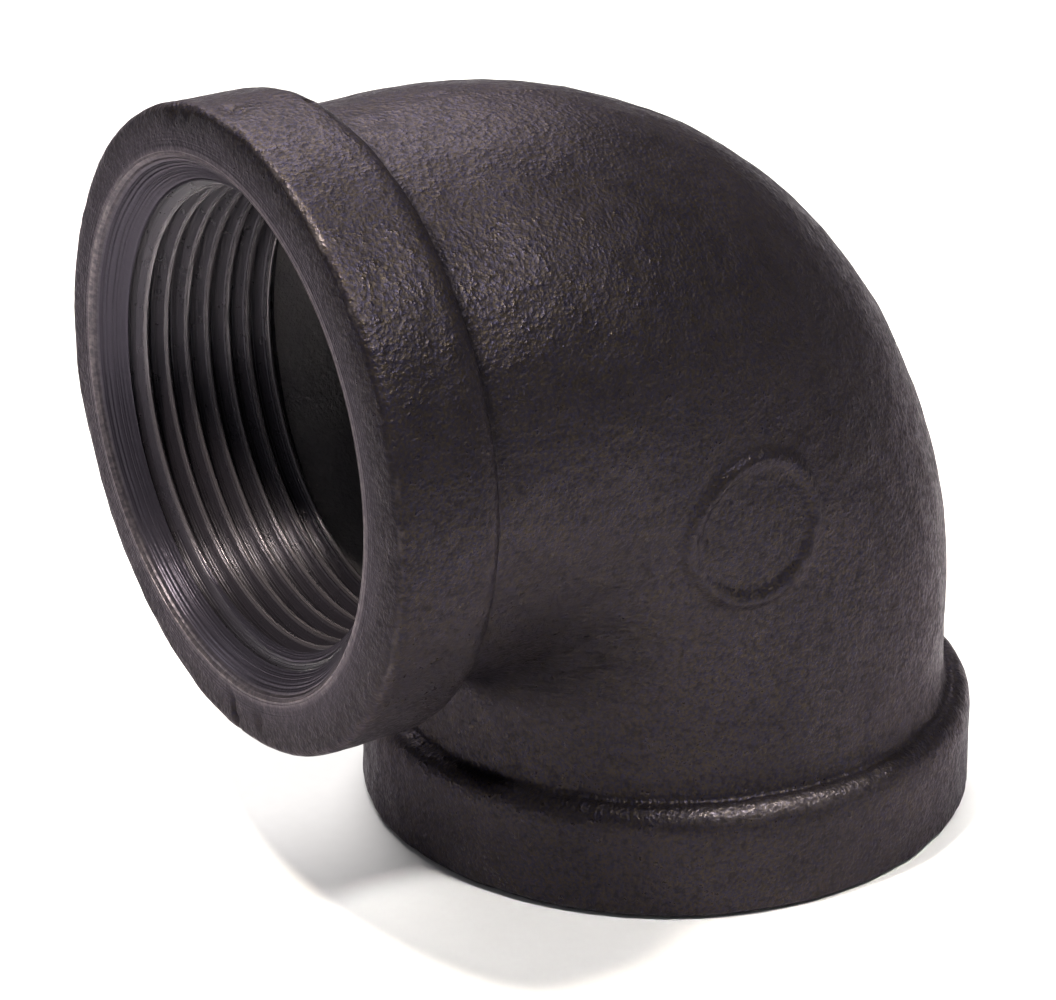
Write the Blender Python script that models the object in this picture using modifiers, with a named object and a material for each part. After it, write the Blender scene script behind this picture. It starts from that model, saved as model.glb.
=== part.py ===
"""Banded 90-degree pipe elbow with two tapered 1-1/2 in. NPT sockets.

The elbow is one malleable-iron casting, so it is one object: a bent tube whose ends swell into
thick bands, hollowed by a wider bent cavity, with a chamfer and a real helical pipe thread cut
into each end.

Frame: +Z is up. The lower socket opens along -Z and its end face lies on z = 0. The side socket
opens along -X. The casting is symmetric about y = 0, and the origin is under the middle of its
bounding box. Lengths are in metres.
"""

import math

import bmesh
import bpy
from mathutils import Matrix, Vector

MM = 0.001
INCH = 25.4 * MM

# The casting. The bend starts a little behind the threads.
CENTRE_TO_END = 1.94 * INCH
THREAD_LENGTH = 0.70 * INCH
LEAD_TO_BEND = 0.5 * MM
STRAIGHT_LENGTH = THREAD_LENGTH + LEAD_TO_BEND
BEND_RADIUS = CENTRE_TO_END - STRAIGHT_LENGTH
BODY_RADIUS = 27.85 * MM
BAND_RADIUS = 2.427 * INCH / 2
BAND_WIDTH = 8.4 * MM
SHOULDER_WIDTH = 2.8 * MM
END_EDGE_RADIUS = 1.0 * MM
NECK_FILLET = 0.9 * MM
CAVITY_RADIUS = 24.1 * MM

# The heel of the bend stands out past a plain round tube, and its two flanks are a little flat.
HEEL_SWELL = 1.9 * MM
HEEL_PINCH = 0.5 * MM

# The tapered pipe thread: 11.5 turns to the inch, 60-degree flanks, 1 in 16 on diameter.
THREAD_PITCH = INCH / 11.5
THREAD_HEIGHT = 0.8 * THREAD_PITCH
PITCH_RADIUS_AT_END = 1.79609 * INCH / 2
TAPER_ON_RADIUS = 1 / 32
CREST_FLAT = THREAD_PITCH - 2 * THREAD_HEIGHT * math.tan(math.radians(30))
TAP_TURNS = 10
TAP_MARGIN = 0.3 * MM

# The side socket was tapped a little off its band's centre, so its wall is thinner at +Y.
SIDE_TAP_OFFSET = 1.2 * MM

# The 45-degree chamfer at the mouth of each socket.
CHAMFER_RADIUS = 25.8 * MM
CHAMFER_DEPTH = 4.6 * MM
CHAMFER_OVERRUN = 1.0 * MM

# A plain raised foundry ring on the side of the bend.
MARK_RADIUS = 7.0 * MM
MARK_LINE_RADIUS = 0.8 * MM
MARK_SINK = 0.3 * MM
MARK_BEND_ANGLE = math.radians(45)

# Facets.
SIDES = 48
THREAD_STEPS = 40
BEND_STEPS = 14
ROUNDING_STEPS = 4
MARK_POINTS = 24
MARK_SIDES = 6
MERGE_DISTANCE = 0.01 * MM

# The two socket axes cross at the elbow's centre.
ELBOW_CENTRE = Vector(((CENTRE_TO_END - BAND_RADIUS) / 2, 0, CENTRE_TO_END))
BEND_LENGTH = BEND_RADIUS * math.pi / 2
CENTRELINE_LENGTH = 2 * STRAIGHT_LENGTH + BEND_LENGTH


def clear_scene():
    for old_object in list(bpy.data.objects):
        bpy.data.objects.remove(old_object, do_unlink=True)


def make_collection(name):
    collection = bpy.data.collections.new(name)
    bpy.context.scene.collection.children.link(collection)
    return collection


def black_iron():
    """Oiled black malleable iron."""
    material = bpy.data.materials.new("black_iron")
    material.use_nodes = True
    shader = material.node_tree.nodes["Principled BSDF"]
    shader.inputs["Base Color"].default_value = (0.045, 0.038, 0.042, 1.0)
    shader.inputs["Roughness"].default_value = 0.55
    shader.inputs["Metallic"].default_value = 0.35
    return material


def bend_point(angle, radius, side=0.0):
    """A point round the bend's own centre: angle 0 is where the bend leaves the side socket's
    straight, and 90 degrees is where it reaches the lower socket's."""
    return ELBOW_CENTRE + Vector((
        -BEND_RADIUS + radius * math.sin(angle),
        side,
        -BEND_RADIUS + radius * math.cos(angle),
    ))


def centreline_point(distance):
    """The point on the centreline this far from the side socket's end face."""
    if distance < STRAIGHT_LENGTH:
        return ELBOW_CENTRE + Vector((distance - CENTRE_TO_END, 0, 0))
    if distance > STRAIGHT_LENGTH + BEND_LENGTH:
        return ELBOW_CENTRE - Vector((0, 0, CENTRE_TO_END - (CENTRELINE_LENGTH - distance)))
    return bend_point((distance - STRAIGHT_LENGTH) / BEND_RADIUS, BEND_RADIUS)


def band_stations():
    """(distance from the end face, radius) down one band, its shoulder and its neck."""
    quarter = [math.pi / 2 * step / ROUNDING_STEPS for step in range(ROUNDING_STEPS + 1)]
    end_edge = [
        (END_EDGE_RADIUS * (1 - math.cos(turn)), BAND_RADIUS - END_EDGE_RADIUS * (1 - math.sin(turn)))
        for turn in quarter
    ]
    foot_radius = BODY_RADIUS + NECK_FILLET
    shoulder = [
        (BAND_WIDTH + SHOULDER_WIDTH * math.sin(turn),
         foot_radius + (BAND_RADIUS - foot_radius) * math.cos(turn))
        for turn in quarter
    ]
    neck = [
        (BAND_WIDTH + SHOULDER_WIDTH + NECK_FILLET * (1 - math.cos(turn)),
         foot_radius - NECK_FILLET * math.sin(turn))
        for turn in quarter[1:]
    ]
    return end_edge + shoulder + neck


def bend_stations(radius):
    """(distance from the side socket's end face, radius) round the bend."""
    return [
        (STRAIGHT_LENGTH + BEND_LENGTH * step / BEND_STEPS, radius)
        for step in range(BEND_STEPS + 1)
    ]


def mirrored(stations):
    """The same stations counted from the other end face, in order along the centreline."""
    return [(CENTRELINE_LENGTH - distance, radius) for distance, radius in reversed(stations)]


def solid_from_curve(curve_object, collection):
    """Turns a bevelled curve into a mesh with its caps welded on."""
    depsgraph = bpy.context.evaluated_depsgraph_get()
    mesh = bpy.data.meshes.new_from_object(curve_object.evaluated_get(depsgraph))
    mesh.name = curve_object.name
    work = bmesh.new()
    work.from_mesh(mesh)
    bmesh.ops.remove_doubles(work, verts=work.verts, dist=MERGE_DISTANCE)
    bmesh.ops.recalc_face_normals(work, faces=work.faces)
    work.to_mesh(mesh)
    work.free()
    name = curve_object.name
    curve = curve_object.data
    bpy.data.objects.remove(curve_object, do_unlink=True)
    bpy.data.curves.remove(curve)
    solid = bpy.data.objects.new(name, mesh)
    collection.objects.link(solid)
    return solid


def tube(name, points, radii, sides, collection, cyclic=False):
    """A solid tube through the points, with its own radius at each."""
    curve = bpy.data.curves.new(name, "CURVE")
    curve.dimensions = "3D"
    curve.twist_mode = "MINIMUM"
    curve.bevel_depth = 1.0
    curve.bevel_resolution = (sides - 4) // 2
    curve.use_fill_caps = not cyclic
    spline = curve.splines.new("POLY")
    spline.points.add(len(points) - 1)
    for spline_point, point, radius in zip(spline.points, points, radii):
        spline_point.co = (*point, 1.0)
        spline_point.radius = radius
    spline.use_cyclic_u = cyclic
    curve_object = bpy.data.objects.new(name, curve)
    collection.objects.link(curve_object)
    return solid_from_curve(curve_object, collection)


def bend_centre():
    return ELBOW_CENTRE - Vector((BEND_RADIUS, 0, BEND_RADIUS))


def swell_heel(solid):
    """Pushes the outer half of the bend's round sections out into half ovals with flat flanks."""
    for vertex in solid.data.vertices:
        from_bend = vertex.co - bend_centre()
        turn = math.atan2(from_bend.x, from_bend.z)
        outward = math.hypot(from_bend.x, from_bend.z) - BEND_RADIUS
        if not 0 < turn < math.pi / 2 or outward <= 0:
            continue
        section_angle = math.atan2(vertex.co.y, outward)
        mid_bend = math.sin(2 * turn)
        long_axis = 1 + HEEL_SWELL * mid_bend / BODY_RADIUS
        oval = long_axis / math.hypot(math.cos(section_angle), long_axis * math.sin(section_angle))
        pinch = HEEL_PINCH / BODY_RADIUS * (mid_bend * math.sin(2 * section_angle)) ** 2
        scale = oval - pinch
        stretch = (BEND_RADIUS + outward * scale) / (BEND_RADIUS + outward)
        vertex.co = bend_centre() + Vector((
            from_bend.x * stretch,
            vertex.co.y * scale,
            from_bend.z * stretch,
        ))
    return solid


def bent_tube(name, stations, collection):
    points = [centreline_point(distance) for distance, _ in stations]
    radii = [radius for _, radius in stations]
    return swell_heel(tube(name, points, radii, SIDES, collection))


def make_cutter(cutter):
    cutter.hide_render = True
    cutter.display_type = "WIRE"
    return cutter


def casting_skin(collection):
    """The outside: band, shoulder and neck, the plain bend, then the same again."""
    band = band_stations()
    stations = band + bend_stations(BODY_RADIUS) + mirrored(band)
    return bent_tube("elbow_casting", stations, collection)


def cavity_cutter(collection):
    """The waterway between the threads, wider than the threads so that the tap can run out."""
    straight_end = [(THREAD_LENGTH, CAVITY_RADIUS)]
    stations = straight_end + bend_stations(CAVITY_RADIUS) + mirrored(straight_end)
    return make_cutter(bent_tube("cavity_cutter", stations, collection))


def raised_ring(collection):
    """A ring that follows the bend's surface on its -Y side, half sunk in it."""
    lift = BODY_RADIUS - MARK_SINK
    points = []
    for step in range(MARK_POINTS):
        turn = 2 * math.pi * step / MARK_POINTS
        around_tube = MARK_RADIUS * math.sin(turn) / BODY_RADIUS
        along_bend = MARK_RADIUS * math.cos(turn) / (BEND_RADIUS + lift * math.sin(around_tube))
        points.append(bend_point(
            MARK_BEND_ANGLE + along_bend,
            BEND_RADIUS + lift * math.sin(around_tube),
            -lift * math.cos(around_tube),
        ))
    radii = [MARK_LINE_RADIUS] * MARK_POINTS
    ring = tube("raised_ring", points, radii, MARK_SIDES, collection, cyclic=True)
    return make_cutter(swell_heel(ring))


def thread_profile(lowest):
    """One pitch of thread, from the top down: flank, root, flank, and the flat on the crest."""
    crest = PITCH_RADIUS_AT_END - THREAD_HEIGHT / 2
    root = PITCH_RADIUS_AT_END + THREAD_HEIGHT / 2
    flank = (THREAD_PITCH - CREST_FLAT) / 2
    return [
        (crest, lowest + THREAD_PITCH),
        (root, lowest + CREST_FLAT + flank),
        (crest, lowest + CREST_FLAT),
        (crest, lowest),
    ]


def turned_mesh(name, profile, turns, pitch, steps, collection):
    """Spins a profile in the XZ plane about Z, climbing one pitch each turn."""
    mesh = bpy.data.meshes.new(name)
    vertices = [(radius, 0, height) for radius, height in profile]
    edges = [(index, index + 1) for index in range(len(profile) - 1)]
    mesh.from_pydata(vertices, edges, [])
    blank = bpy.data.objects.new(name, mesh)
    collection.objects.link(blank)
    screw = blank.modifiers.new("thread", "SCREW")
    screw.axis = "Z"
    screw.steps = steps
    screw.render_steps = steps
    screw.iterations = turns
    screw.screw_offset = pitch
    depsgraph = bpy.context.evaluated_depsgraph_get()
    turned = bpy.data.meshes.new_from_object(blank.evaluated_get(depsgraph))
    bpy.data.objects.remove(blank, do_unlink=True)
    bpy.data.meshes.remove(mesh)
    turned.name = name
    return turned


def tap_cutter(name, placement, collection):
    """A tapered male thread, along +Z out of the socket, with the end face at z = 0."""
    lowest = -THREAD_LENGTH - THREAD_PITCH - TAP_MARGIN
    mesh = turned_mesh(name, thread_profile(lowest), TAP_TURNS, THREAD_PITCH, THREAD_STEPS, collection)
    work = bmesh.new()
    work.from_mesh(mesh)
    bmesh.ops.remove_doubles(work, verts=work.verts, dist=MERGE_DISTANCE)
    for vertex in work.verts:
        radius = vertex.co.xy.length
        vertex.co.xy *= (radius + vertex.co.z * TAPER_ON_RADIUS) / radius
    open_edges = [edge for edge in work.edges if edge.is_boundary]
    caps = bmesh.ops.holes_fill(work, edges=open_edges, sides=0)["faces"]
    bmesh.ops.poke(work, faces=caps)
    bmesh.ops.recalc_face_normals(work, faces=work.faces)
    work.to_mesh(mesh)
    work.free()
    tap = bpy.data.objects.new(name, mesh)
    tap.matrix_world = placement
    collection.objects.link(tap)
    return make_cutter(tap)


def chamfer_cutter(name, placement, collection):
    """A 45-degree cone, wide end outside the socket, with the end face at z = 0."""
    mesh = bpy.data.meshes.new(name)
    work = bmesh.new()
    bmesh.ops.create_cone(
        work,
        cap_ends=True,
        segments=SIDES,
        radius1=CHAMFER_RADIUS - CHAMFER_DEPTH,
        radius2=CHAMFER_RADIUS + CHAMFER_OVERRUN,
        depth=CHAMFER_DEPTH + CHAMFER_OVERRUN,
        matrix=Matrix.Translation((0, 0, (CHAMFER_OVERRUN - CHAMFER_DEPTH) / 2)),
    )
    work.to_mesh(mesh)
    work.free()
    cone = bpy.data.objects.new(name, mesh)
    cone.matrix_world = placement
    collection.objects.link(cone)
    return make_cutter(cone)


def socket_placements():
    """For each socket, where its thread's axis meets the end face, with local +Z out of it."""
    side_centre = centreline_point(0) + Vector((0, SIDE_TAP_OFFSET, 0))
    side = Matrix.Translation(side_centre) @ Matrix.Rotation(math.radians(-90), 4, "Y")
    lower = Matrix.Translation(centreline_point(CENTRELINE_LENGTH)) @ Matrix.Rotation(math.pi, 4, "Y")
    return {"side": side, "lower": lower}


def add_boolean(target, operand, operation):
    boolean = target.modifiers.new(operand.name, "BOOLEAN")
    boolean.operation = operation
    boolean.solver = "EXACT"
    boolean.object = operand


def build():
    clear_scene()
    parts = make_collection("banded_pipe_elbow")
    cutters = make_collection("cutters")

    casting = casting_skin(parts)
    casting.data.materials.append(black_iron())
    add_boolean(casting, raised_ring(cutters), "UNION")
    add_boolean(casting, cavity_cutter(cutters), "DIFFERENCE")
    for name, placement in socket_placements().items():
        add_boolean(casting, tap_cutter(f"{name}_tap", placement, cutters), "DIFFERENCE")
        add_boolean(casting, chamfer_cutter(f"{name}_chamfer", placement, cutters), "DIFFERENCE")
    casting.data.shade_smooth()
    casting.data.set_sharp_from_angle(angle=math.radians(30))


build()
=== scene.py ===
"""The looks of a banded 90-degree pipe elbow: one black malleable-iron casting with cut threads.

The casting's skin is a grid of points. Its rows follow the bent centreline from the side socket's
mouth, over the band, round the bend and into the lower socket's mouth, and its columns go round
the tube. The skin is roughened as a sand casting is, and then the waterway and the two tapered
threads are cut out of it. Lengths are in metres, in the frame's axes.
"""

import math

import bmesh
import bpy
import numpy as np
from mathutils import Matrix, Vector, noise


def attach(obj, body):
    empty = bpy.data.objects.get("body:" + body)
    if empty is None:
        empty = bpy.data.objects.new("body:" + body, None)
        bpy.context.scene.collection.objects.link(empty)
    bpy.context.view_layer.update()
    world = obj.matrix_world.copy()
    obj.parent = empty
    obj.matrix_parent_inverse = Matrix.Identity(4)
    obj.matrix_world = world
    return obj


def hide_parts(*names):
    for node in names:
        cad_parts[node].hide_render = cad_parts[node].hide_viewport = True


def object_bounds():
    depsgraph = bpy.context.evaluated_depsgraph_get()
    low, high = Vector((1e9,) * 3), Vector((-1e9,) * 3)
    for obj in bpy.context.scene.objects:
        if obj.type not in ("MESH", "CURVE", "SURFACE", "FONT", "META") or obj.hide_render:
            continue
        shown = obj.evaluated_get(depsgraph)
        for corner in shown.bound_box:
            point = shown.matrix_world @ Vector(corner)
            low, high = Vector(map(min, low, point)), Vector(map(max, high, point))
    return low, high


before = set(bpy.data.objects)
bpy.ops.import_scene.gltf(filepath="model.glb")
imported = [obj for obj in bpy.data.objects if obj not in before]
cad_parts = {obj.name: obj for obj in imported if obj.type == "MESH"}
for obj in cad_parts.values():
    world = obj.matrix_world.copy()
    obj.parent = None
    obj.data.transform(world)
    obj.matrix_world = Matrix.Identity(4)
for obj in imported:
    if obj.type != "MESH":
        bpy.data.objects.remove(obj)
CAD_LOW, CAD_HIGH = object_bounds()

MM = 0.001
INCH = 25.4 * MM

# The casting, as the frame gives it, and the rest of its outline.
BAND_RADIUS = CAD_HIGH.y
CENTRE_TO_END = CAD_HIGH.z - BAND_RADIUS
ELBOW_CENTRE = Vector((CAD_HIGH.x - BAND_RADIUS, 0, CENTRE_TO_END))
THREAD_LENGTH = 0.70 * INCH
LEAD_TO_BEND = 0.5 * MM
STRAIGHT_LENGTH = THREAD_LENGTH + LEAD_TO_BEND
BEND_RADIUS = CENTRE_TO_END - STRAIGHT_LENGTH
BEND_LENGTH = BEND_RADIUS * math.pi / 2
CENTRELINE_LENGTH = 2 * STRAIGHT_LENGTH + BEND_LENGTH
BODY_RADIUS = 27.85 * MM
BAND_WIDTH = 8.4 * MM
SHOULDER_WIDTH = 2.8 * MM
END_EDGE_RADIUS = 1.0 * MM
NECK_FILLET = 0.9 * MM
CAVITY_RADIUS = 24.1 * MM
HEEL_SWELL = 1.9 * MM
HEEL_PINCH = 0.5 * MM

# The tapered pipe thread and its chamfer. The side socket is tapped a little off centre.
THREAD_PITCH = INCH / 11.5
PITCH_RADIUS_AT_END = 1.79609 * INCH / 2
SHARP_HEIGHT = THREAD_PITCH * math.cos(math.radians(30))
CREST_ROUND = 0.20 * MM
ROOT_ROUND = 0.10 * MM
TAPER_ON_RADIUS = 1 / 32
TAP_TURNS = 10
TAP_MARGIN = 0.3 * MM
SIDE_TAP_OFFSET = 1.2 * MM
CHAMFER_RADIUS = 25.8 * MM
CHAMFER_DEPTH = 5.0 * MM
LIP_RADIUS = 0.35 * MM

# The generic raised ring on the side of the bend.
MARK_RADIUS = 7.0 * MM
MARK_HEIGHT = 0.5 * MM
MARK_LINE_WIDTH = 0.75 * MM
MARK_TURN = math.radians(45)
MARK_ANGLE = math.radians(-90)

# The sand-cast surface: (size of the lumps, height) of each layer of unevenness.
CAST_LAYERS = [(9.0 * MM, 0.07 * MM), (2.6 * MM, 0.04 * MM), (1.3 * MM, 0.022 * MM)]
BAND_ALLOWANCE = 0.1 * MM
BAND_FADE_START = 8 * MM
BAND_FADE_STOP = 12 * MM
PARTING_HEIGHT = 0.12 * MM
PARTING_WIDTH = 0.5 * MM
PARTING_PATCH = 5 * MM
LOWER_NECK_FILL = 0.35 * MM
LOWER_NECK_FILL_WIDTH = 1.4 * MM

# Flaws left by the mould's parting line, in millimetres and degrees: distance along the
# centreline, angle round the tube, radius from the centreline, size, and depth.
PITS = [
    (0.2, 15, 30.3, 1.3, 0.30),
    (0.3, 10, 30.4, 1.1, 0.25),
    (2.8, 1, 30.8, 0.8, 0.45),
    (2.8, 4, 30.8, 0.9, 0.45),
    (9.6, -1, 30.5, 0.8, 0.55),
    (21.2, 3, 27.8, 0.7, 0.35),
    (22.3, -5, 27.8, 0.7, -0.25),
    (0.0, 179, 27.6, 0.6, 0.40),
    (0.0, 179, 28.2, 0.6, 0.40),
    (0.0, 179, 28.8, 0.6, 0.40),
    (0.2, 180, 29.4, 0.7, 0.40),
    (0.5, 180, 30.1, 0.7, 0.40),
    (0.0, -171, 27.6, 0.8, 0.35),
    (0.0, -171, 28.4, 0.6, 0.30),
]

# Where the casting is turned, worn, lightened by painted highlights and darkened by painted shade. An
# arc fades in from its first angle to its second, and out from its third to its fourth.
MACHINED_MARGIN = 0.3 * MM
FACE_TURNED_NEAR = 1.2 * MM
FACE_TURNED_FAR = 3.6 * MM
FACE_RAGGEDNESS = 0.8 * MM
# How wide the lip's polish and painted highlight are.
LIP_HIGHLIGHT_WIDTH = 0.2 * MM
EDGE_WEAR_WIDTH = 0.13 * MM
EDGE_WEAR_PATCH = 1.3 * MM
EDGE_WEAR_ARC = np.radians([0, 22, 38, 58])
# A painted highlight on the lower band's shoulder: its arc, height and radius.
SHOULDER_HIGHLIGHT_ARC = np.radians([-132, -112, -98, -70])
SHOULDER_HIGHLIGHT_DEPTH = 10.8 * MM
SHOULDER_HIGHLIGHT_RADIUS = 29.6 * MM
# Where the painted shade lies in the side band's neck.
NECK_SHADE_WIDTH = 0.8 * MM
NECK_SHADE_START = -5 * MM
NECK_SHADE_STOP = 18 * MM

# How fine the meshes are.
COLUMNS = 312
SPACING = 0.7 * MM
THREAD_STEPS = 144
CAVITY_COLUMNS = 96
DENSITY_SAMPLES = 2000
DENSITY_ANGLES = 1441
RING_CROWDING_ANGLE = math.radians(22)
PARTING_CROWDING = 1.2
PARTING_CROWDING_ANGLE = math.radians(7)
MERGE_DISTANCE = 0.005 * MM
SHARP_ANGLE = math.radians(32)

# Sizes of the grain and marks in the materials.
SAND_GRAIN = 0.45 * MM
SKIN_LUMP = 2.2 * MM
SKIN_PATCH = 11 * MM
SKIN_SPECKLE = 0.26 * MM
TURNED_LINE = 0.25 * MM
THREAD_LINE = 0.18 * MM
THREAD_GRIME = 1.2 * MM
WATERWAY_GRAIN = 0.6 * MM
WATERWAY_PATCH = 6 * MM
PAPER_FIBRE = 1.5 * MM

# Colours.
PURPLE_SKIN = (0.022, 0.020, 0.036, 1)
BROWN_SKIN = (0.037, 0.029, 0.020, 1)
# Black oil on the skin, and also the colour of the painted shade in the side neck.
OIL_AND_SHADE_BLACK = (0.009, 0.008, 0.010, 1)
TURNED_DARK = (0.012, 0.011, 0.015, 1)
TURNED_LIGHT = (0.066, 0.059, 0.078, 1)
# Bright iron for worn edges, and for the painted highlights on the lip and the lower shoulder.
WEAR_AND_HIGHLIGHT_IRON = (0.38, 0.33, 0.33, 1)
SHEEN_TINT = (0.40, 0.36, 0.40, 1)
FLANK_DARK = (0.026, 0.023, 0.032, 1)
FLANK_LIGHT = (0.066, 0.058, 0.072, 1)
# Painted shade in the thread roots.
ROOT_SHADE_BLACK = (0.012, 0.010, 0.013, 1)
# The crests' polish, lightened further as a painted highlight.
CREST_POLISH_AND_HIGHLIGHT = (0.15, 0.134, 0.148, 1)
WATERWAY_DARK = (0.16, 0.15, 0.16, 1)
WATERWAY_LIGHT = (0.20, 0.19, 0.19, 1)
PAPER_DARK = (0.86, 0.86, 0.86, 1)
PAPER_LIGHT = (0.90, 0.90, 0.90, 1)
STUDIO_AIR = (0.95, 0.95, 1, 1)

# The camera and the floor. Azimuth 0 looks along +Y.
VIEW_AZIMUTH = -32.67
VIEW_ELEVATION = 24.77
VIEW_ROLL = math.radians(-0.31)
VIEW_DISTANCE = 413.85 * MM
VIEW_AIM = ELBOW_CENTRE + Vector((-16.38 * MM, 0, -14.94 * MM))
LENS = 145.56
SENSOR_WIDTH = 36
FLOOR_WIDTH = 3.0

# The kinds of surface, which are also the piece's material slots.
CAST, THREAD, WATERWAY = range(3)


# ------------------------------------------------------------------------------------------------
# The outline: rows of (distance from the end face, radius, share of the tap's offset).
# ------------------------------------------------------------------------------------------------

def even_steps(start, stop, spacing):
    """Even values from start to stop, with both ends."""
    return np.linspace(start, stop, round(abs(stop - start) / spacing) + 1)


def mouth_rows():
    """From the bottom of the chamfer up over the lip, and out across the end face."""
    lip_run = LIP_RADIUS * math.tan(math.pi / 8)
    lip_drop = LIP_RADIUS * (1 - math.cos(math.pi / 4))
    face_start = CHAMFER_RADIUS + lip_run
    face_stop = BAND_RADIUS - END_EDGE_RADIUS
    cone = [
        (depth, CHAMFER_RADIUS - depth, 1)
        for depth in even_steps(CHAMFER_DEPTH, lip_drop, SPACING)
    ]
    lip = [
        (LIP_RADIUS * (1 - math.cos(turn)), face_start - LIP_RADIUS * math.sin(turn), 1)
        for turn in np.linspace(math.pi / 4, 0, 5)[1:]
    ]
    face = [
        (0, radius, (face_stop - radius) / (face_stop - face_start))
        for radius in even_steps(face_start, face_stop, SPACING)[1:-1]
    ]
    return cone + lip + face


def band_rows():
    """Round the outer edge, along the band, and down its shoulder and neck to the bend."""
    foot_radius = BODY_RADIUS + NECK_FILLET
    neck_start = BAND_WIDTH + SHOULDER_WIDTH
    neck_stop = neck_start + NECK_FILLET
    edge = [
        (END_EDGE_RADIUS * (1 - math.cos(turn)),
         BAND_RADIUS - END_EDGE_RADIUS * (1 - math.sin(turn)), 0)
        for turn in np.linspace(0, math.pi / 2, 6)
    ]
    band = [
        (depth, BAND_RADIUS, 0)
        for depth in even_steps(END_EDGE_RADIUS, BAND_WIDTH, SPACING)[1:-1]
    ]
    shoulder = [
        (BAND_WIDTH + SHOULDER_WIDTH * math.sin(turn),
         foot_radius + (BAND_RADIUS - foot_radius) * math.cos(turn), 0)
        for turn in np.linspace(0, math.pi / 2, 9)
    ]
    neck = [
        (neck_start + NECK_FILLET * (1 - math.cos(turn)),
         foot_radius - NECK_FILLET * math.sin(turn), 0)
        for turn in np.linspace(0, math.pi / 2, 5)[1:]
    ]
    straight = [
        (depth, BODY_RADIUS, 0)
        for depth in even_steps(neck_stop, STRAIGHT_LENGTH, SPACING)[1:-1]
    ]
    return edge + band + shoulder + neck + straight


def crowded(start, stop, spacing, centre, half_width):
    """Values from start to stop, twice as close together around the centre."""
    fine = np.linspace(start, stop, DENSITY_SAMPLES)
    density = 1 + np.exp(-((fine - centre) / half_width) ** 4)
    running = np.concatenate([[0], np.cumsum((density[1:] + density[:-1]) / 2)])
    running *= (stop - start) / (len(fine) - 1) / spacing
    count = round(running[-1])
    return np.interp(np.linspace(0, running[-1], count + 1), running, fine)


def bend_rows(radius, spacing):
    """Round the bend, closest together under the raised ring."""
    middle = CENTRELINE_LENGTH / 2
    ring_reach = 1.4 * MARK_RADIUS
    start = STRAIGHT_LENGTH
    stop = CENTRELINE_LENGTH - STRAIGHT_LENGTH
    return [(distance, radius, 0) for distance in crowded(start, stop, spacing, middle, ring_reach)]


def mirrored(rows):
    """The same rows counted from the other end face, whose thread is not off centre."""
    return [(CENTRELINE_LENGTH - distance, radius, 0) for distance, radius, _ in reversed(rows)]


def column_angles(count):
    """Angles round the tube, closest together on the parting line and under the raised ring.

    Angle 0 is the outer side of the bend, and -90 degrees is its -Y side.
    """
    fine = np.radians(np.linspace(-180, 180, DENSITY_ANGLES))
    density = 1 + np.exp(-((fine - MARK_ANGLE) / RING_CROWDING_ANGLE) ** 4)
    for parting in (-math.pi, 0, math.pi):
        density += PARTING_CROWDING * np.exp(-((fine - parting) / PARTING_CROWDING_ANGLE) ** 2)
    running = np.concatenate([[0], np.cumsum((density[1:] + density[:-1]) / 2)])
    return np.interp(np.arange(count) * running[-1] / count, running, fine)


# ------------------------------------------------------------------------------------------------
# Points on the bent tube.
# ------------------------------------------------------------------------------------------------

def swell(turn, angle):
    """How far the bend's outer half stands out past a round section, as a factor."""
    mid_bend = np.sin(2 * turn)
    long_axis = 1 + HEEL_SWELL * mid_bend / BODY_RADIUS
    oval = long_axis / np.hypot(np.cos(angle), long_axis * np.sin(angle))
    pinch = HEEL_PINCH / BODY_RADIUS * (mid_bend * np.sin(2 * angle)) ** 2
    return np.where(np.cos(angle) > 0, oval - pinch, 1)


def tube_points(rows, angles):
    """The point of each row and column, and the bend's turn at each row."""
    distance, radius, tap_share = (np.array(column)[:, None] for column in zip(*rows))
    turn = np.clip((distance - STRAIGHT_LENGTH) / BEND_RADIUS, 0, math.pi / 2)
    before = np.minimum(distance - STRAIGHT_LENGTH, 0)
    after = np.maximum(distance - STRAIGHT_LENGTH - BEND_LENGTH, 0)
    reach = radius * swell(turn, angles)
    outward = BEND_RADIUS + reach * np.cos(angles)
    return np.stack([
        ELBOW_CENTRE.x - BEND_RADIUS + outward * np.sin(turn) + before,
        reach * np.sin(angles) + SIDE_TAP_OFFSET * tap_share,
        ELBOW_CENTRE.z - BEND_RADIUS + outward * np.cos(turn) - after,
    ], axis=-1), turn


def grid_mesh(name, points, materials, kind):
    """A closed mesh of quads over a grid of points, round each row, with a cap at both ends."""
    row_count, column_count = points.shape[:2]
    index = np.arange(row_count * column_count).reshape(row_count, column_count)
    ahead = np.roll(index, -1, axis=1)
    quads = np.stack([index[:-1], ahead[:-1], ahead[1:], index[1:]], axis=-1).reshape(-1, 4)
    faces = quads.tolist() + [index[0][::-1].tolist(), index[-1].tolist()]
    mesh = bpy.data.meshes.new(name)
    mesh.from_pydata(points.reshape(-1, 3), [], faces)
    return finished_mesh(mesh, materials, kind)


def finished_mesh(mesh, materials, kind):
    """Turns the faces outwards and gives them one kind of surface."""
    work = bmesh.new()
    work.from_mesh(mesh)
    bmesh.ops.recalc_face_normals(work, faces=work.faces)
    work.to_mesh(mesh)
    work.free()
    for material in materials:
        mesh.materials.append(material)
    mesh.polygons.foreach_set("material_index", [kind] * len(mesh.polygons))
    return mesh


def new_object(name, mesh, placement=None):
    thing = bpy.data.objects.new(name, mesh)
    if placement is not None:
        thing.matrix_world = placement
    bpy.context.scene.collection.objects.link(thing)
    return thing


# ------------------------------------------------------------------------------------------------
# The sand-cast skin.
# ------------------------------------------------------------------------------------------------

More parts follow.
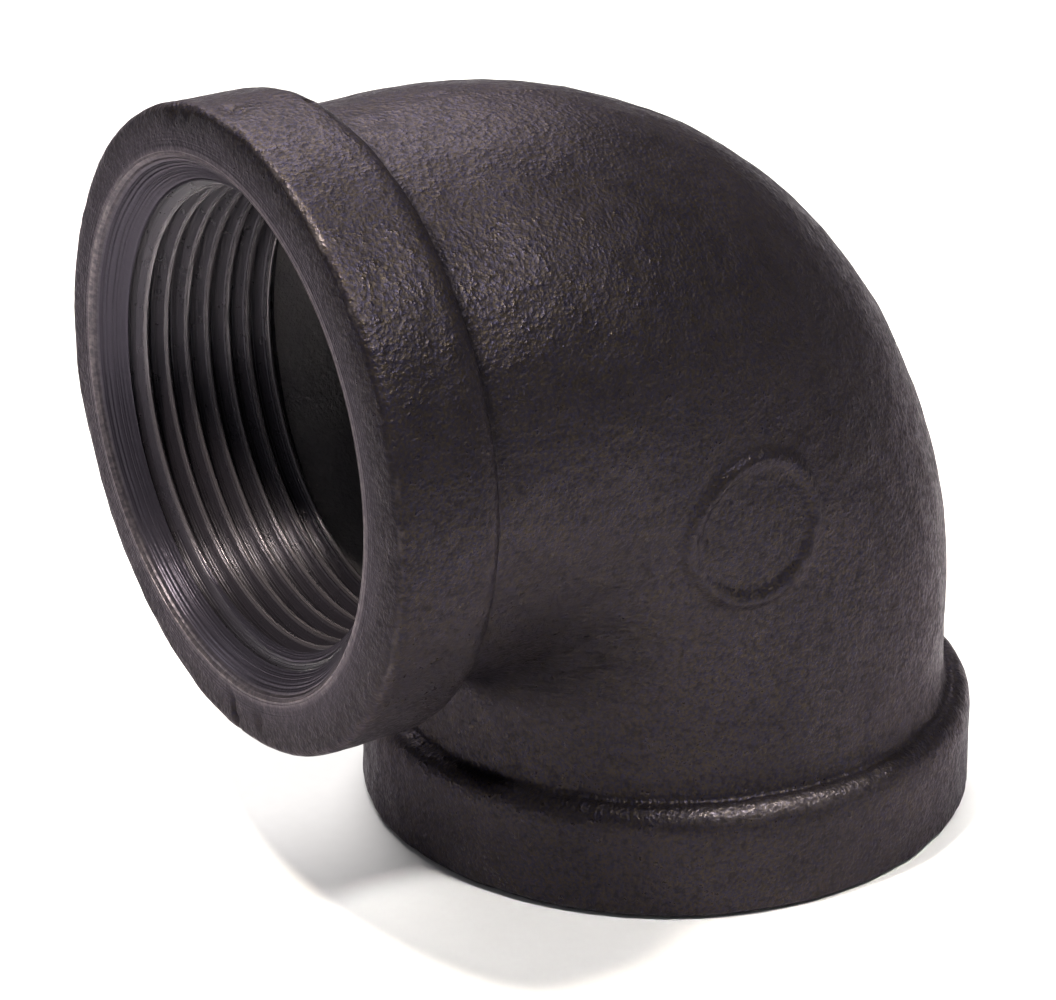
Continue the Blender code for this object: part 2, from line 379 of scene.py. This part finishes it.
def smooth_step(value, low, high):
    """0 below low, 1 above high, and an S-curve between. High may be the lower one."""
    share = np.clip((value - low) / (high - low), 0, 1)
    return share * share * (3 - 2 * share)


def noise_field(points, size, seed):
    """Smooth noise from about -1 to 1 whose lumps have this size."""
    shift = Vector((seed * 17.3, seed * 5.1, seed * 9.7))
    return np.array([noise.noise(Vector(point) / size + shift) for point in points])


def cast_unevenness(points):
    return sum(
        2 * height * noise_field(points, size, seed)
        for seed, (size, height) in enumerate(CAST_LAYERS)
    )


def ring_relief(turn, angles, radius):
    """The height of the raised ring over the skin."""
    along = (turn - MARK_TURN) * (BEND_RADIUS + radius * np.cos(angles))
    around = (angles - MARK_ANGLE) * radius
    off_line = np.hypot(along, around) - MARK_RADIUS
    return MARK_HEIGHT * np.exp(-np.abs(off_line / MARK_LINE_WIDTH) ** 3)


def parting_relief(points):
    """The fettled ridge where the two halves of the mould met, on y = 0."""
    strength = 0.6 + 0.5 * noise_field(points, PARTING_PATCH, seed=7)
    return PARTING_HEIGHT * strength * np.exp(-(points[:, 1] / PARTING_WIDTH) ** 2)


def lower_neck_relief(points):
    """The lower neck was left fuller than the side one when the pattern was filleted."""
    neck_height = BAND_WIDTH + SHOULDER_WIDTH + NECK_FILLET / 2
    return LOWER_NECK_FILL * np.exp(-((points[:, 2] - neck_height) / LOWER_NECK_FILL_WIDTH) ** 2)


def pit_relief(points):
    """The pits, and the one raised speck among them."""
    relief = np.zeros(len(points))
    for distance, angle, radius, size, depth in PITS:
        centre, _ = tube_points([(distance * MM, radius * MM, 0)], np.radians([angle]))
        apart = np.linalg.norm(points - centre[0, 0], axis=1)
        relief -= depth * MM * smooth_step(apart, size * MM, 0.3 * size * MM)
    return relief


def skin_mesh(materials):
    """The outside of the casting, with both mouths, before anything is cut out of it."""
    end = mouth_rows() + band_rows()
    rows = end + bend_rows(BODY_RADIUS, SPACING) + mirrored(end)
    angles = column_angles(COLUMNS)
    grid, turn = tube_points(rows, angles)
    mesh = grid_mesh("casting_skin", grid, materials, CAST)
    points = grid.reshape(-1, 3)
    normals = np.empty(points.size)
    mesh.vertex_normals.foreach_get("vector", normals)

    depth = np.array([min(row[0], CENTRELINE_LENGTH - row[0]) for row in rows])
    radius = np.array([row[1] for row in rows])
    in_mouth = np.repeat(in_mouth_rows(len(rows)), COLUMNS)
    on_band = np.repeat(smooth_step(depth, BAND_FADE_STOP, BAND_FADE_START), COLUMNS)
    lift = cast_unevenness(points) - BAND_ALLOWANCE * on_band
    lift += parting_relief(points) * (1 - on_band)
    lift += lower_neck_relief(points)
    lift += ring_relief(turn, angles, radius[:, None]).ravel()
    lift = np.where(in_mouth, 0, lift)
    lift += pit_relief(points)
    points = np.clip(points + normals.reshape(-1, 3) * lift[:, None], CAD_LOW, CAD_HIGH)
    mesh.vertices.foreach_set("co", points.ravel())
    mesh.update()
    return mesh


def in_mouth_rows(row_count):
    """Whether each row is in one of the two mouths, as far as the outer edge's own rounding."""
    from_end = np.minimum(np.arange(row_count), np.arange(row_count)[::-1])
    return from_end < len(mouth_rows())


# ------------------------------------------------------------------------------------------------
# What is cut out of it.
# ------------------------------------------------------------------------------------------------

def cavity_mesh(materials):
    """The as-cast waterway between the threads, which the taps run out into."""
    lead = [(THREAD_LENGTH, CAVITY_RADIUS, 0)]
    rows = lead + bend_rows(CAVITY_RADIUS, 2 * SPACING) + mirrored(lead)
    angles = np.linspace(-math.pi, math.pi, CAVITY_COLUMNS, endpoint=False)
    grid, _ = tube_points(rows, angles)
    mesh = grid_mesh("waterway", grid, materials, WATERWAY)
    points = grid.reshape(-1, 3)
    normals = np.empty(points.size)
    mesh.vertex_normals.foreach_get("vector", normals)
    lift = cast_unevenness(points) - BAND_ALLOWANCE
    points = points + normals.reshape(-1, 3) * lift[:, None]
    mesh.vertices.foreach_set("co", points.ravel())
    mesh.update()
    return mesh


def thread_profile(lowest):
    """One pitch of thread from the top down, from the middle of one rounded crest to the next."""
    crest_centre = PITCH_RADIUS_AT_END - SHARP_HEIGHT / 2 + 2 * CREST_ROUND
    root_centre = PITCH_RADIUS_AT_END + SHARP_HEIGHT / 2 - 2 * ROOT_ROUND
    crest = [
        (crest_centre - CREST_ROUND * math.cos(turn), CREST_ROUND * math.sin(turn))
        for turn in np.radians([0, 30, 60])
    ]
    middle = [(PITCH_RADIUS_AT_END, THREAD_PITCH / 4)]
    root = [
        (root_centre + ROOT_ROUND * math.cos(turn), THREAD_PITCH / 2 - ROOT_ROUND * math.sin(turn))
        for turn in np.radians([60, 0])
    ]
    half = crest + middle + root
    other_half = [(radius, THREAD_PITCH - height) for radius, height in half[-2::-1]]
    return [(radius, lowest + height) for radius, height in reversed(half + other_half)]


def turned_mesh(name, profile):
    """Spins the profile about Z, climbing one pitch each turn."""
    mesh = bpy.data.meshes.new(name)
    vertices = [(radius, 0, height) for radius, height in profile]
    edges = [(index, index + 1) for index in range(len(profile) - 1)]
    mesh.from_pydata(vertices, edges, [])
    blank = new_object(name, mesh)
    screw = blank.modifiers.new("thread", "SCREW")
    screw.axis = "Z"
    screw.steps = THREAD_STEPS
    screw.render_steps = THREAD_STEPS
    screw.iterations = TAP_TURNS
    screw.screw_offset = THREAD_PITCH
    turned = evaluated_mesh(blank)
    bpy.data.objects.remove(blank, do_unlink=True)
    turned.name = name
    return turned


def tap_mesh(name, materials):
    """A tapered male thread along +Z out of the socket, with the end face at z = 0."""
    lowest = -THREAD_LENGTH - THREAD_PITCH - TAP_MARGIN
    mesh = turned_mesh(name, thread_profile(lowest))
    work = bmesh.new()
    work.from_mesh(mesh)
    bmesh.ops.remove_doubles(work, verts=work.verts, dist=MERGE_DISTANCE)
    for vertex in work.verts:
        radius = vertex.co.xy.length
        vertex.co.xy *= (radius + vertex.co.z * TAPER_ON_RADIUS) / radius
    open_edges = [edge for edge in work.edges if edge.is_boundary]
    bmesh.ops.poke(work, faces=bmesh.ops.holes_fill(work, edges=open_edges, sides=0)["faces"])
    work.to_mesh(mesh)
    work.free()
    return finished_mesh(mesh, materials, THREAD)


def socket_placements():
    """For each socket, where its thread's axis meets the end face, with local +Z out of it."""
    side_centre = ELBOW_CENTRE + Vector((-CENTRE_TO_END, SIDE_TAP_OFFSET, 0))
    lower_centre = ELBOW_CENTRE - Vector((0, 0, CENTRE_TO_END))
    side = Matrix.Translation(side_centre) @ Matrix.Rotation(math.radians(-90), 4, "Y")
    lower = Matrix.Translation(lower_centre) @ Matrix.Rotation(math.pi, 4, "Y")
    return {"side": side, "lower": lower}


def evaluated_mesh(thing):
    depsgraph = bpy.context.evaluated_depsgraph_get()
    return bpy.data.meshes.new_from_object(thing.evaluated_get(depsgraph))


def cut(piece, cutters):
    """Takes the cutters out of the piece for good."""
    for cutter in cutters:
        boolean = piece.modifiers.new(cutter.name, "BOOLEAN")
        boolean.operation = "DIFFERENCE"
        boolean.solver = "MANIFOLD"
        boolean.object = cutter
    mesh = evaluated_mesh(piece)
    piece.modifiers.clear()
    piece.data = mesh
    for cutter in cutters:
        bpy.data.objects.remove(cutter, do_unlink=True)


# ------------------------------------------------------------------------------------------------
# What the materials need to know about each point.
# ------------------------------------------------------------------------------------------------

def add_attribute(mesh, name, values):
    attribute = mesh.attributes.new(name, "FLOAT", "POINT")
    attribute.data.foreach_set("value", values.astype(np.float32))


def within_arc(angle, arc):
    """1 in the middle of the arc, falling to 0 at its ends."""
    start, full_from, full_to, stop = arc
    return smooth_step(angle, start, full_from) * smooth_step(angle, stop, full_to)


def turned_share(points, depth, tool_radius, on_face):
    """1 on the chamfers, some on the end faces close to them, and 0 on the as-cast skin."""
    on_cone = np.abs(tool_radius + depth - CHAMFER_RADIUS) < MACHINED_MARGIN
    ragged = FACE_RAGGEDNESS * noise_field(points, 3 * MM, seed=11)
    past_chamfer = tool_radius + ragged
    near = smooth_step(
        past_chamfer, CHAMFER_RADIUS + FACE_TURNED_FAR, CHAMFER_RADIUS + FACE_TURNED_NEAR
    )
    return np.where(on_cone, 1, np.where(on_face, 0.05 + 0.3 * near, 0))


def edge_wear(points, at_side, depth, band_radius):
    """Polish on the bands' outer edges, most of all on an arc of the side band's."""
    around = np.arctan2(-points[:, 1], points[:, 2] - ELBOW_CENTRE.z)
    off_edge = np.hypot(depth, band_radius - BAND_RADIUS) - 0.41 * END_EDGE_RADIUS
    edge = np.exp(-(off_edge / EDGE_WEAR_WIDTH) ** 2)
    patchy = smooth_step(noise_field(points, EDGE_WEAR_PATCH, seed=12), -0.4, 0.2)
    return edge * np.where(at_side, 0.1 + 0.9 * within_arc(around, EDGE_WEAR_ARC), 0.1) * patchy


def lip_polish_and_highlight(depth, tool_radius):
    """Polish, and a painted highlight on the rounded lip, where a chamfer meets its end face."""
    off_lip = np.hypot(depth, tool_radius - CHAMFER_RADIUS)
    return 0.5 * np.exp(-(off_lip / LIP_HIGHLIGHT_WIDTH) ** 2)


def painted_shoulder_highlight(points):
    """A painted highlight: a crescent on the lower band's shoulder, on the side away from the side
    socket.
    """
    across = points[:, 0] - ELBOW_CENTRE.x
    around = np.arctan2(points[:, 1], across)
    radius = np.hypot(across, points[:, 1])
    off_centre = np.hypot(points[:, 2] - SHOULDER_HIGHLIGHT_DEPTH, radius - SHOULDER_HIGHLIGHT_RADIUS)
    crescent = within_arc(around, SHOULDER_HIGHLIGHT_ARC) * smooth_step(off_centre, 1.3 * MM, 0.3 * MM)
    return 0.2 * crescent


def neck_shade_and_dark_faces(points, side_depth, on_face):
    """Painted shade in the upper half of the side band's neck, and a lesser darkening of the end
    faces.
    """
    neck_depth = BAND_WIDTH + SHOULDER_WIDTH + 0.7 * NECK_FILLET
    neck = 0.9 * np.exp(-((side_depth - neck_depth) / NECK_SHADE_WIDTH) ** 2)
    neck *= smooth_step(points[:, 2] - ELBOW_CENTRE.z, NECK_SHADE_START, NECK_SHADE_STOP)
    return np.where(on_face, 0.4, neck)


def mark_surfaces(mesh):
    """Writes how turned each point is, its wear and painted highlight, its painted shade in the neck
    and darkening on the end faces, and where it lies for the turning tool.
    """
    points = np.empty(len(mesh.vertices) * 3)
    mesh.vertices.foreach_get("co", points)
    points = points.reshape(-1, 3)
    height = points[:, 2] - ELBOW_CENTRE.z
    side_depth = points[:, 0] - (ELBOW_CENTRE.x - CENTRE_TO_END)
    side_tool = np.hypot(points[:, 1] - SIDE_TAP_OFFSET, height)
    side_band = np.hypot(points[:, 1], height)
    lower_radius = np.hypot(points[:, 0] - ELBOW_CENTRE.x, points[:, 1])
    at_side = (side_depth < STRAIGHT_LENGTH) & (side_band < BAND_RADIUS + MM)
    depth = np.where(at_side, side_depth, points[:, 2])
    tool_radius = np.where(at_side, side_tool, lower_radius)
    band_radius = np.where(at_side, side_band, lower_radius)
    on_face = (depth < MACHINED_MARGIN) & (tool_radius > CHAMFER_RADIUS - 0.5 * MM)
    wear_and_highlight = edge_wear(points, at_side, depth, band_radius)
    # The lip: polish and a painted highlight.
    wear_and_highlight += lip_polish_and_highlight(depth, tool_radius)
    # A painted highlight on the lower band's shoulder.
    wear_and_highlight += painted_shoulder_highlight(points)
    crest_radius = PITCH_RADIUS_AT_END - SHARP_HEIGHT / 2 + CREST_ROUND
    above_crest = (tool_radius + depth * TAPER_ON_RADIUS - crest_radius) / SHARP_HEIGHT
    add_attribute(mesh, "above_crest", np.clip(above_crest, 0, 1))
    add_attribute(mesh, "turned", turned_share(points, depth, tool_radius, on_face))
    add_attribute(mesh, "wear_and_highlight", wear_and_highlight)
    # Painted shade in the side neck, and darker end faces.
    add_attribute(mesh, "neck_shade_dark_faces", neck_shade_and_dark_faces(points, side_depth, on_face))
    add_attribute(mesh, "tool_radius", tool_radius)


# ------------------------------------------------------------------------------------------------
# Materials.
# ------------------------------------------------------------------------------------------------

def add_node(tree, kind, inputs=None, **settings):
    """A new node. Each input is a value or another node's output."""
    made = tree.nodes.new(kind)
    for setting, value in settings.items():
        setattr(made, setting, value)
    for socket, value in (inputs or {}).items():
        if isinstance(value, bpy.types.NodeSocket):
            tree.links.new(value, made.inputs[socket])
        else:
            made.inputs[socket].default_value = value
    return made


def noise_node(tree, size, detail=2.0, roughness=0.5):
    """Noise over the object whose lumps have this size."""
    place = add_node(tree, "ShaderNodeTexCoord").outputs["Object"]
    return add_node(tree, "ShaderNodeTexNoise", {
        "Vector": place,
        "Scale": 1 / size,
        "Detail": detail,
        "Roughness": roughness,
    }).outputs["Fac"]


def sand_grains(tree, size):
    """Grains of about this size packed side by side, on ground that rises and falls as finely."""
    place = add_node(tree, "ShaderNodeTexCoord").outputs["Object"]
    cells = add_node(tree, "ShaderNodeTexVoronoi", {"Vector": place, "Scale": 1 / size})
    mound = remap(tree, cells.outputs["Distance"], 0.0, 0.8, 0.65, 0.35)
    ground = noise_node(tree, 1.3 * size, detail=3.0, roughness=0.6)
    return blend_value(tree, 0.6, mound, ground)


def remap(tree, value, low, high, to_low, to_high):
    return add_node(tree, "ShaderNodeMapRange", {
        "Value": value,
        "From Min": low,
        "From Max": high,
        "To Min": to_low,
        "To Max": to_high,
    }).outputs["Result"]


def calculate(tree, operation, first, second):
    return add_node(tree, "ShaderNodeMath", {0: first, 1: second}, operation=operation).outputs[0]


def blend_colour(tree, share, first, second):
    """The first colour where share is 0 and the second where it is 1."""
    mixer = add_node(tree, "ShaderNodeMix", {0: share, 6: first, 7: second}, data_type="RGBA")
    return mixer.outputs[2]


def blend_value(tree, share, first, second):
    mixer = add_node(tree, "ShaderNodeMix", {0: share, 2: first, 3: second}, data_type="FLOAT")
    return mixer.outputs[0]


def bump(tree, height, distance, strength, below=None):
    inputs = {"Height": height, "Distance": distance, "Strength": strength}
    if below is not None:
        inputs["Normal"] = below
    return add_node(tree, "ShaderNodeBump", inputs).outputs["Normal"]


def surface_attribute(tree, name):
    return add_node(tree, "ShaderNodeAttribute", attribute_name=name).outputs["Fac"]


def new_material(name):
    material = bpy.data.materials.new(name)
    material.use_nodes = True
    tree = material.node_tree
    return material, tree, tree.nodes["Principled BSDF"]


def connect(tree, shader, **links):
    for socket, value in links.items():
        tree.links.new(value, shader.inputs[socket.replace("_", " ")])


def tool_lines(tree, spacing):
    """Fine lines that follow a turning tool, uneven from one to the next."""
    radius = surface_attribute(tree, "tool_radius")
    wobble = calculate(tree, "MULTIPLY", noise_node(tree, 4 * MM), 0.5 * spacing)
    phase = calculate(tree, "DIVIDE", calculate(tree, "ADD", radius, wobble), spacing)
    place = add_node(tree, "ShaderNodeCombineXYZ", {"X": phase}).outputs["Vector"]
    return add_node(tree, "ShaderNodeTexNoise", {
        "Vector": place,
        "Scale": 1.0,
        "Detail": 2.0,
    }).outputs["Fac"]


def cast_iron():
    """Black oiled casting: sand grain, purple and brown tints, turned and worn places, painted
    highlights and painted shade.
    """
    material, tree, shader = new_material("black_iron_casting")
    grain = sand_grains(tree, SAND_GRAIN)
    lumps = noise_node(tree, SKIN_LUMP, detail=3.0, roughness=0.6)
    patches = noise_node(tree, SKIN_PATCH, detail=3.0)
    tint = noise_node(tree, SKIN_SPECKLE, detail=1.0)
    turned = surface_attribute(tree, "turned")
    wear_and_highlight = surface_attribute(tree, "wear_and_highlight")
    neck_shade_dark_faces = surface_attribute(tree, "neck_shade_dark_faces")

    skin = blend_colour(tree, remap(tree, tint, 0.36, 0.64, 0, 1), PURPLE_SKIN, BROWN_SKIN)
    skin = blend_colour(tree, remap(tree, patches, 0.35, 0.7, 0, 0.3), skin, OIL_AND_SHADE_BLACK)
    skin = blend_colour(tree, remap(tree, grain, 0.50, 0.36, 0, 0.6), skin, OIL_AND_SHADE_BLACK)
    # Painted shade: the side neck is darkened towards black, and the end faces are darkened less.
    skin = blend_colour(tree, neck_shade_dark_faces, skin, OIL_AND_SHADE_BLACK)
    lines = tool_lines(tree, TURNED_LINE)
    bright = blend_colour(tree, lines, TURNED_DARK, TURNED_LIGHT)
    wear_and_highlight = calculate(tree, "MULTIPLY", wear_and_highlight, remap(tree, grain, 0.42, 0.56, 0.3, 1.0))
    colour = blend_colour(tree, turned, skin, bright)
    # Worn edges and painted highlights, lighter on the tops of the grains.
    colour = blend_colour(tree, wear_and_highlight, colour, WEAR_AND_HIGHLIGHT_IRON)

    rough = remap(tree, grain, 0.40, 0.60, 0.50, 0.27)
    rough = calculate(tree, "ADD", rough, remap(tree, lumps, 0.35, 0.65, 0.08, -0.06))
    rough = blend_value(tree, turned, rough, 0.30)
    rough = blend_value(tree, wear_and_highlight, rough, 0.33)
    metal = blend_value(tree, turned, 0.7, 0.6)
    metal = blend_value(tree, wear_and_highlight, metal, 0.85)

    kept = calculate(tree, "SUBTRACT", 1.0, calculate(tree, "MULTIPLY", turned, 0.75))
    soft = bump(tree, lumps, 0.30 * MM, calculate(tree, "MULTIPLY", kept, 0.5))
    sandy = bump(tree, grain, 0.26 * MM, kept, soft)
    cut_lines = bump(tree, lines, 0.36 * MM, turned, sandy)
    shader.inputs["Specular IOR Level"].default_value = 0.4
    shader.inputs["Specular Tint"].default_value = SHEEN_TINT
    connect(tree, shader, Base_Color=colour, Roughness=rough, Metallic=metal, Normal=cut_lines)
    return material


def cut_iron():
    """Cut threads: dark flanks, roots darkened as painted shade, and crests polished by the tap and
    lightened as a painted highlight.
    """
    material, tree, shader = new_material("cut_thread_iron")
    lines = tool_lines(tree, THREAD_LINE)
    grime = noise_node(tree, THREAD_GRIME, detail=3.0)
    above_crest = surface_attribute(tree, "above_crest")
    crest = remap(tree, above_crest, 0.02, 0.20, 0.9, 0)

    flank = blend_colour(tree, lines, FLANK_DARK, FLANK_LIGHT)
    # Painted shade: the thread roots are darkened towards black.
    root = remap(tree, above_crest, 0.45, 0.85, 0, 0.8)
    flank = blend_colour(tree, root, flank, ROOT_SHADE_BLACK)
    # The crests' polish and a painted highlight: a lighter colour along every crest.
    colour = blend_colour(tree, crest, flank, CREST_POLISH_AND_HIGHLIGHT)
    rough = remap(tree, grime, 0.35, 0.65, 0.27, 0.31)
    rough = blend_value(tree, crest, rough, 0.21)
    metal = blend_value(tree, crest, 0.6, 0.5)
    flecks = bump(tree, grime, 0.03 * MM, 0.25)
    cut_lines = bump(tree, lines, 0.27 * MM, 1.0, flecks)
    shader.inputs["Specular IOR Level"].default_value = 0.5
    connect(tree, shader, Base_Color=colour, Roughness=rough, Metallic=metal, Normal=cut_lines)
    return material


def waterway_iron():
    """The as-cast inside, dull and grey."""
    material, tree, shader = new_material("waterway_iron")
    grain = noise_node(tree, WATERWAY_GRAIN, detail=3.0, roughness=0.6)
    patches = noise_node(tree, WATERWAY_PATCH, detail=3.0)
    patchy = remap(tree, patches, 0.35, 0.65, 0, 1)
    colour = blend_colour(tree, patchy, WATERWAY_DARK, WATERWAY_LIGHT)
    rough = remap(tree, grain, 0.35, 0.65, 0.95, 0.80)
    sandy = bump(tree, grain, 0.25 * MM, 1.0)
    shader.inputs["Specular IOR Level"].default_value = 0.1
    connect(tree, shader, Base_Color=colour, Roughness=rough, Normal=sandy)
    return material


def floor_paper():
    """Plain pale paper."""
    material, tree, shader = new_material("floor_paper")
    fibres = noise_node(tree, PAPER_FIBRE, detail=4.0)
    colour = blend_colour(tree, fibres, PAPER_DARK, PAPER_LIGHT)
    shader.inputs["Roughness"].default_value = 0.9
    connect(tree, shader, Base_Color=colour, Normal=bump(tree, fibres, 0.02 * MM, 0.3))
    return material


# ------------------------------------------------------------------------------------------------
# The piece and its surroundings.
# ------------------------------------------------------------------------------------------------

def build_casting():
    materials = [cast_iron(), cut_iron(), waterway_iron()]
    casting = new_object("iron_casting", skin_mesh(materials))
    cutters = [new_object("waterway", cavity_mesh(materials))]
    for name, placement in socket_placements().items():
        cutters.append(new_object(f"{name}_tap", tap_mesh(f"{name}_tap", materials), placement))
    cut(casting, cutters)
    mark_surfaces(casting.data)
    casting.data.shade_smooth()
    casting.data.set_sharp_from_angle(angle=SHARP_ANGLE)
    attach(casting, "root")
    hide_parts("elbow_casting")


def build_floor():
    half = FLOOR_WIDTH / 2
    mesh = bpy.data.meshes.new("floor")
    corners = [(-half, -half, 0), (half, -half, 0), (half, half, 0), (-half, half, 0)]
    mesh.from_pydata(corners, [], [(0, 1, 2, 3)])
    mesh.materials.append(floor_paper())
    new_object("floor", mesh)


def direction(azimuth, elevation):
    """Towards a viewer who stands at this azimuth and elevation, in degrees."""
    azimuth, elevation = math.radians(azimuth), math.radians(elevation)
    return Vector((
        math.sin(azimuth) * math.cos(elevation),
        -math.cos(azimuth) * math.cos(elevation),
        math.sin(elevation),
    ))


def facing(towards, roll):
    """A rotation whose -Z looks against towards, with X level before it rolls."""
    level = Vector((0, 0, 1)).cross(towards).normalized()
    upright = towards.cross(level)
    rotation = Matrix((level, upright, towards)).transposed()
    return (rotation @ Matrix.Rotation(roll, 3, "Z")).to_4x4()


def build_camera():
    towards = direction(VIEW_AZIMUTH, VIEW_ELEVATION)
    data = bpy.data.cameras.new("camera")
    data.lens = LENS
    data.sensor_width = SENSOR_WIDTH
    data.clip_start = 10 * MM
    placement = Matrix.Translation(VIEW_AIM + towards * VIEW_DISTANCE) @ facing(towards, VIEW_ROLL)
    bpy.context.scene.camera = new_object("camera", data, placement)


def area_light(name, azimuth, elevation, distance, size, power, spread, colour):
    """A round softbox aimed at the elbow, whose grid keeps its light within the spread."""
    towards = direction(azimuth, elevation)
    data = bpy.data.lights.new(name, "AREA")
    data.shape = "DISK"
    data.size = size
    data.energy = power
    data.spread = math.radians(spread)
    data.color = colour
    new_object(name, data, Matrix.Translation(ELBOW_CENTRE + towards * distance) @ facing(towards, 0))


def build_lights():
    area_light("overhead", azimuth=162, elevation=48, distance=0.9,
               size=0.80, power=14.0, spread=180, colour=(1, 0.97, 0.95))
    area_light("key_front", azimuth=15, elevation=58, distance=0.8,
               size=0.10, power=0.31, spread=40, colour=(1, 0.97, 0.93))
    area_light("key_left", azimuth=-88, elevation=68, distance=0.8,
               size=0.10, power=0.42, spread=40, colour=(1, 0.91, 0.80))
    world = bpy.data.worlds.new("studio")
    world.use_nodes = True
    background = world.node_tree.nodes["Background"]
    background.inputs["Color"].default_value = STUDIO_AIR
    background.inputs["Strength"].default_value = 0.18
    bpy.context.scene.world = world
    bpy.context.scene.view_settings.view_transform = "Standard"


build_casting()
build_floor()
build_camera()
build_lights()
